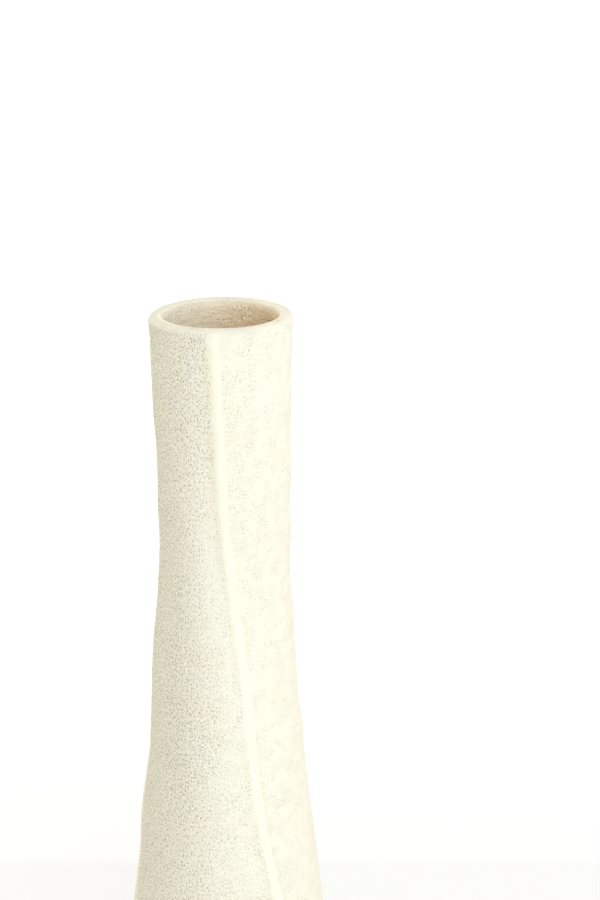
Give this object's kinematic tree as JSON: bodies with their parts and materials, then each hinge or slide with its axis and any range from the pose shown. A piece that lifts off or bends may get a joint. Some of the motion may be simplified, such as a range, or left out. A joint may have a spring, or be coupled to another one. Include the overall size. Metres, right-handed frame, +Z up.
{
  "type": "ceramic vase",
  "caption": "Tall round bottle vase in rough white stoneware, with a rounded lip, a flared body and raised seams that wind slowly down the wall.",
  "frame": {"origin": "centre of the bottom of the vase, on the surface that it stands on", "axes": "+Z up the vase's axis to the lip, -Y towards the front, +X to the right as seen from the front"},
  "size_m": [0.1228, 0.1232, 0.45],
  "materials": {
    "rough_glaze": "matte, sandy cream glaze over grogged stoneware",
    "smooth_glaze": "matte cream glaze, wiped smoother over the lip and the seams",
    "bare_clay": "unglazed fired stoneware",
    "felt": "pressed wool felt"
  },
  "bodies": {
    "root": {"lower_left_slab": "rough_glaze", "lower_right_slab": "rough_glaze", "lower_back_slab": "rough_glaze", "middle_left_slab": "rough_glaze", "middle_right_slab": "rough_glaze", "middle_back_slab": "rough_glaze", "upper_left_slab": "rough_glaze", "upper_right_slab": "rough_glaze", "upper_back_slab": "rough_glaze", "front_seam_coil": "smooth_glaze", "right_seam_coil": "smooth_glaze", "left_seam_coil": "smooth_glaze", "lip_coil": "smooth_glaze", "base_slab": "rough_glaze", "corner_coil": "rough_glaze", "foot_ring": "bare_clay", "felt_pad_1": "felt", "felt_pad_2": "felt", "felt_pad_3": "felt", "felt_pad_4": "felt"}
  },
  "joints": []
}
